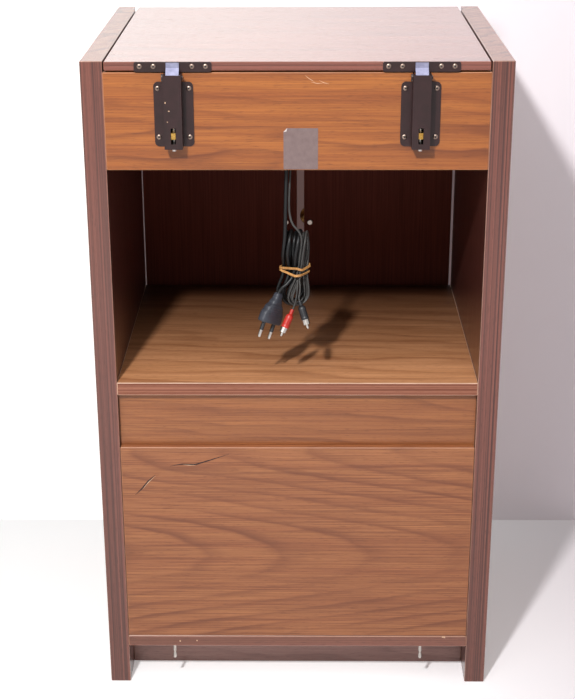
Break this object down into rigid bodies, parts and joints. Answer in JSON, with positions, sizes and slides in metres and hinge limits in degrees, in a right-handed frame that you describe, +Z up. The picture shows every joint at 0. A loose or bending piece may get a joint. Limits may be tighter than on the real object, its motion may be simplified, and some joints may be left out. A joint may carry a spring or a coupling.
{
  "type": "record player cabinet",
  "caption": "Walnut record player cabinet on panel sides: sprung lid, open rear equipment bay with a banded hank of leads, lift-off rear panel, front doors and a record deck.",
  "frame": {"origin": "on the floor under the middle of the cabinet, hinges and knobs included", "axes": "+Z up, -Y out of the back with the lid hinges, +Y out of the front with the doors, +X to the right seen from the back"},
  "size_m": [0.48, 0.427, 0.8],
  "materials": {
    "walnut_veneer": "satin lacquer",
    "walnut_orange": "satin lacquer",
    "walnut_dark": "dark stain",
    "lid_lacquer": "polished lacquer",
    "brown_steel": "brown paint",
    "bright_steel": "plated",
    "spring_steel": "drawn wire",
    "brass": "machined",
    "deck_metal": "satin paint",
    "cast_alloy": "machined casting",
    "arm_chrome": "polished tube",
    "black_plastic": "moulded",
    "red_plastic": "moulded",
    "wheel_rubber": "ground tread",
    "black_cord": "smooth sheath",
    "grey_cord": "smooth sheath",
    "tan_rubber": "plain rubber"
  },
  "bodies": {
    "cabinet": {"side_panel_left": "walnut_veneer", "side_panel_right": "walnut_veneer", "upper_rear_panel": "walnut_orange", "upper_front_panel": "walnut_orange", "shelf_board": "walnut_veneer", "rear_rail": "walnut_veneer", "bottom_board": "walnut_veneer", "rear_plinth": "walnut_veneer", "front_plinth": "walnut_veneer", "deck_board": "walnut_dark", "hinge_housing_left": "brown_steel", "hinge_housing_right": "brown_steel", "hinge_pin_left": "bright_steel", "hinge_pin_right": "bright_steel", "hinge_spring_left": "spring_steel", "hinge_spring_right": "spring_steel", "deck_chassis": "deck_metal", "drive_motor": "deck_metal", "arm_base": "cast_alloy", "mains_strain_relief": "black_plastic", "audio_strain_relief": "black_plastic", "mains_drop": "black_cord", "mains_hank": "black_cord", "mains_tail": "black_cord", "mains_plug": "black_plastic", "audio_drop": "grey_cord", "audio_hank": "grey_cord", "audio_tail_red": "grey_cord", "audio_tail_black": "grey_cord", "audio_plug_red": "red_plastic", "audio_plug_black": "black_plastic", "rubber_band": "tan_rubber"},
    "lid": {"lid_board": "lid_lacquer", "hinge_strap_left": "brown_steel", "hinge_strap_right": "brown_steel", "hinge_tongue_left": "bright_steel", "hinge_tongue_right": "bright_steel"},
    "plunger_left": {"hinge_plunger_left": "bright_steel"},
    "plunger_right": {"hinge_plunger_right": "bright_steel"},
    "screw_left": {"tension_screw_left": "bright_steel"},
    "screw_right": {"tension_screw_right": "bright_steel"},
    "nut_left": {"tension_nut_left": "brass"},
    "nut_right": {"tension_nut_right": "brass"},
    "rear_access": {"access_panel": "walnut_veneer", "locating_peg_left": "bright_steel", "locating_peg_right": "bright_steel"},
    "left_door": {"door_left": "walnut_dark", "door_knob_left": "walnut_veneer", "knob_screw_left": "bright_steel"},
    "right_door": {"door_right": "walnut_dark", "door_knob_right": "walnut_veneer", "knob_screw_right": "bright_steel"},
    "platter_body": {"platter": "cast_alloy"},
    "idler": {"idler_wheel": "wheel_rubber"},
    "pulley": {"motor_pulley": "brass"},
    "arm_swing": {"arm_yoke": "cast_alloy"},
    "arm_tube": {"tonearm": "arm_chrome"},
    "arm_weight": {"counterweight": "black_plastic"},
    "cue": {"cue_lever": "black_plastic"},
    "speed": {"speed_knob": "black_plastic"}
  },
  "joints": [
    {"name": "lid_hinge", "type": "hinge", "parent": "cabinet", "child": "lid", "pos_m": [0, -0.2045, 0.7835], "axis": [1, 0, 0], "range_deg": [0, 75]},
    {"name": "plunger_slide_left", "type": "slide", "parent": "cabinet", "child": "plunger_left", "axis": [0, 0, 1], "range_m": [0, 0.003], "deforming": ["hinge_spring_left"]},
    {"name": "tension_turn_left", "type": "hinge", "parent": "cabinet", "child": "screw_left", "pos_m": [-0.137, -0.2045, 0.715], "axis": [0, 0, 1], "range_deg": [0, 1800]},
    {"name": "nut_travel_left", "type": "slide", "parent": "cabinet", "child": "nut_left", "axis": [0, 0, 1], "range_m": [-0.004, 0]},
    {"name": "plunger_slide_right", "type": "slide", "parent": "cabinet", "child": "plunger_right", "axis": [0, 0, 1], "range_m": [0, 0.003], "deforming": ["hinge_spring_right"]},
    {"name": "tension_turn_right", "type": "hinge", "parent": "cabinet", "child": "screw_right", "pos_m": [0.137, -0.2045, 0.715], "axis": [0, 0, 1], "range_deg": [0, 1800]},
    {"name": "nut_travel_right", "type": "slide", "parent": "cabinet", "child": "nut_right", "axis": [0, 0, 1], "range_m": [-0.004, 0]},
    {"name": "access_lift", "type": "slide", "parent": "cabinet", "child": "rear_access", "axis": [0, 0, 1], "range_m": [0, 0.06]},
    {"name": "left_door_hinge", "type": "hinge", "parent": "cabinet", "child": "left_door", "pos_m": [-0.2018, 0.1835, 0.3725], "axis": [0, 0, 1], "range_deg": [0, 100]},
    {"name": "right_door_hinge", "type": "hinge", "parent": "cabinet", "child": "right_door", "pos_m": [0.2, 0.1835, 0.3725], "axis": [0, 0, -1], "range_deg": [0, 100]},
    {"name": "platter_spin", "type": "hinge", "parent": "cabinet", "child": "platter_body", "pos_m": [0.038, -0.0015, 0.72], "axis": [0, 0, -1], "continuous": true},
    {"name": "idler_spin", "type": "hinge", "parent": "cabinet", "child": "idler", "pos_m": [0.11237, -0.09013, 0.725], "axis": [0, 0, -1], "continuous": true},
    {"name": "pulley_spin", "type": "hinge", "parent": "cabinet", "child": "pulley", "pos_m": [0.12137, -0.06542, 0.725], "axis": [0, 0, -1], "continuous": true},
    {"name": "arm_swing_joint", "type": "hinge", "parent": "cabinet", "child": "arm_swing", "pos_m": [-0.146, -0.0955, 0.745], "axis": [0, 0, -1], "range_deg": [0, 48]},
    {"name": "arm_lift_joint", "type": "hinge", "parent": "arm_swing", "child": "arm_tube", "pos_m": [-0.146, -0.0955, 0.758], "axis": [1, 0, 0], "range_deg": [0, 6]},
    {"name": "weight_slide", "type": "slide", "parent": "arm_tube", "child": "arm_weight", "axis": [0, 1, 0], "range_m": [-0.005, 0.005]},
    {"name": "cue_joint", "type": "hinge", "parent": "cabinet", "child": "cue", "pos_m": [-0.1823, -0.0855, 0.726], "axis": [1, 0, 0], "range_deg": [0, 40]},
    {"name": "speed_joint", "type": "hinge", "parent": "cabinet", "child": "speed", "pos_m": [-0.172, 0.1345, 0.72], "axis": [0, 0, 1], "range_deg": [-45, 45]}
  ],
  "couplings": [
    {"joint": "plunger_slide_left", "follows": "lid_hinge", "m_per_rad": 0.0022918},
    {"joint": "plunger_slide_right", "follows": "lid_hinge", "m_per_rad": 0.0022918},
    {"joint": "tension_turn_left", "follows": "nut_travel_left", "rad_per_m": -7854},
    {"joint": "tension_turn_right", "follows": "nut_travel_right", "rad_per_m": -7854},
    {"joint": "idler_spin", "follows": "platter_spin", "ratio": 6.2727},
    {"joint": "pulley_spin", "follows": "platter_spin", "ratio": -34.5}
  ]
}
